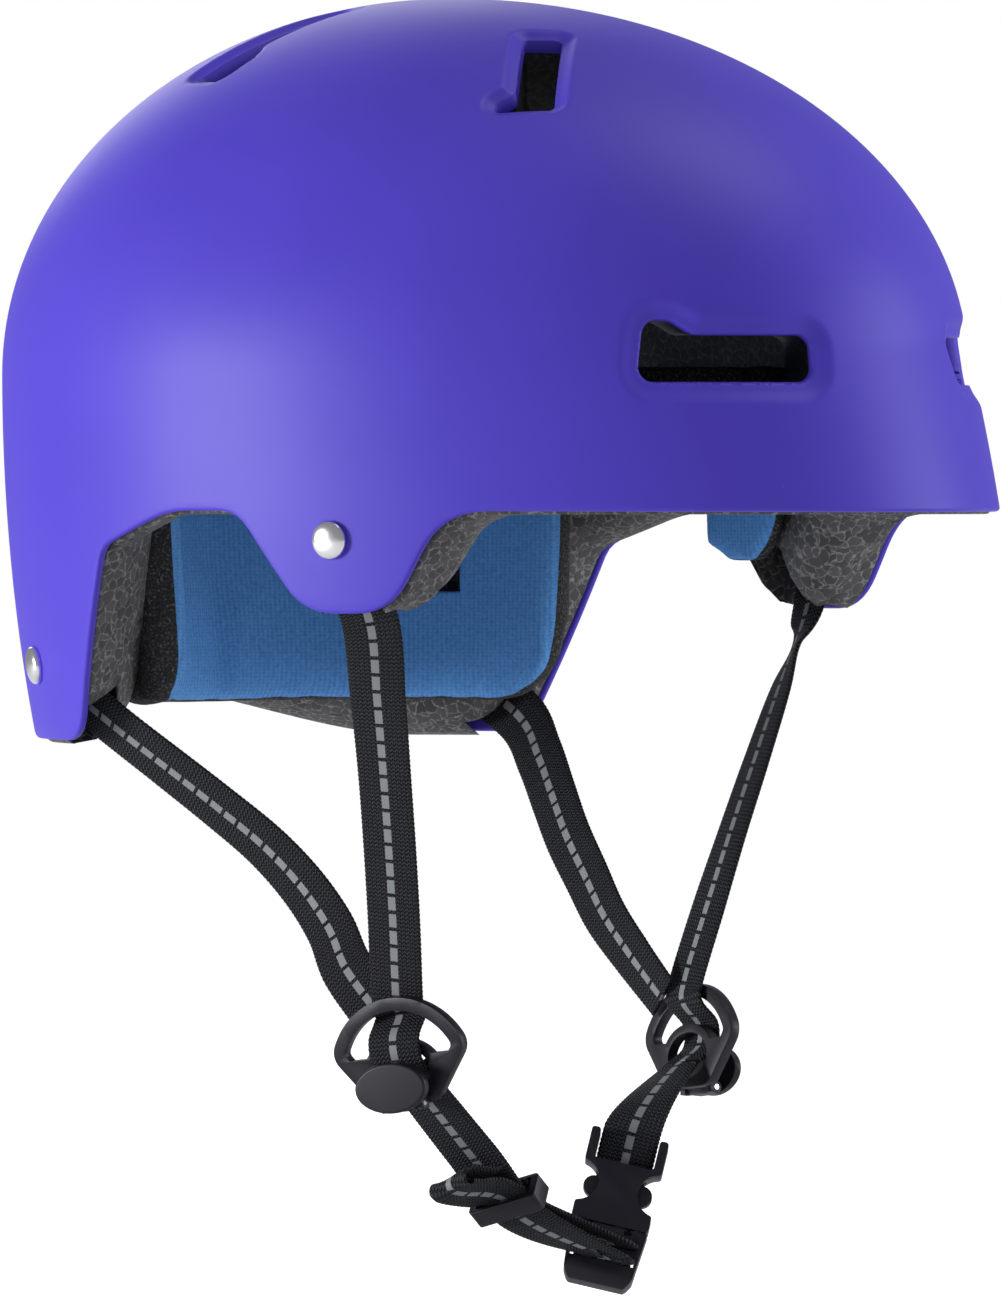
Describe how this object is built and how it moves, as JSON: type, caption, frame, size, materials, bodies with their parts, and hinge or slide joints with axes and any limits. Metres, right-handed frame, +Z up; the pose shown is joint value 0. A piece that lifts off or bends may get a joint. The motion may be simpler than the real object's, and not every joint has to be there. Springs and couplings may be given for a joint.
{
  "type": "skateboard helmet",
  "caption": "Hard-shell skateboard helmet with vents, foam liner, comfort pads and a webbing chin strap with side dividers and a side-release buckle.",
  "frame": {"origin": "centre of the level where the shell is widest, on the plane that parts left from right", "axes": "+Z up through the crown, -Y the way the wearer looks, +X the wearer's left"},
  "size_m": [0.2083, 0.2897, 0.3363],
  "materials": {
    "shell_purple": "satin",
    "liner_black": "matte, beaded foam",
    "rivet_steel": "polished",
    "pad_foam": "open foam",
    "pad_cloth": "blue knit",
    "webbing": "woven, with pale dashes",
    "black_plastic": "satin"
  },
  "bodies": {
    "helmet": {"shell": "shell_purple", "liner_crown": "liner_black", "liner_front": "liner_black", "liner_rear": "liner_black", "liner_right": "liner_black", "liner_left": "liner_black", "ear_rivet_caps": "rivet_steel", "ear_rivet_washers": "rivet_steel", "rear_rivet_caps": "rivet_steel", "rear_rivet_washers": "rivet_steel", "pad_rear_foam": "pad_foam", "pad_rear_cover": "pad_cloth", "pad_side_right_foam": "pad_foam", "pad_side_right_cover": "pad_cloth", "pad_side_left_foam": "pad_foam", "pad_side_left_cover": "pad_cloth", "pad_front_foam": "pad_foam", "pad_front_cover": "pad_cloth", "pad_crown_foam": "pad_foam", "pad_crown_cover": "pad_cloth", "web_ear_right": "webbing", "web_rear_right": "webbing", "web_ear_left": "webbing", "web_rear_left": "webbing", "divider_right": "black_plastic", "divider_pin_right": "rivet_steel", "divider_left": "black_plastic", "divider_pin_left": "rivet_steel", "buckle_socket": "black_plastic", "web_chin_left": "webbing", "web_chin_right": "webbing"},
    "tongue": {"buckle_tongue": "black_plastic"},
    "prong_front": {"buckle_prong_front": "black_plastic"},
    "prong_rear": {"buckle_prong_rear": "black_plastic"},
    "lever_right": {"divider_lever_right": "black_plastic"},
    "lever_left": {"divider_lever_left": "black_plastic"},
    "keeper": {"web_keeper": "black_plastic", "web_tail": "webbing"}
  },
  "joints": [
    {"name": "buckle_release", "type": "slide", "parent": "helmet", "child": "tongue", "axis": [-0.35, 0, -0.9367], "range_m": [0, 0.018], "deforming": ["web_chin_right", "buckle_prong_front", "buckle_prong_rear"]},
    {"name": "prong_front_squeeze", "type": "hinge", "parent": "tongue", "child": "prong_front", "pos_m": [0.02364, -0.04198, -0.22369], "axis": [-0.7176, -0.6428, 0.2681], "range_deg": [0, 5], "stiffness_Nm_per_rad": 0.05},
    {"name": "prong_rear_squeeze", "type": "hinge", "parent": "tongue", "child": "prong_rear", "pos_m": [0.01738, -0.03402, -0.22135], "axis": [0.7176, 0.6428, -0.2681], "range_deg": [0, 5], "stiffness_Nm_per_rad": 0.05},
    {"name": "lever_right_flip", "type": "hinge", "parent": "helmet", "child": "lever_right", "pos_m": [-0.0586, -0.03744, -0.18655], "axis": [0.2201, -0.969, 0.1125], "range_deg": [0, 95]},
    {"name": "lever_left_flip", "type": "hinge", "parent": "helmet", "child": "lever_left", "pos_m": [0.0586, -0.03744, -0.18655], "axis": [0.2201, 0.969, -0.1125], "range_deg": [0, 95]},
    {"name": "keeper_slide", "type": "slide", "parent": "helmet", "child": "keeper", "axis": [-0.7369, 0.037, 0.6749], "range_m": [0, 0.012]}
  ]
}
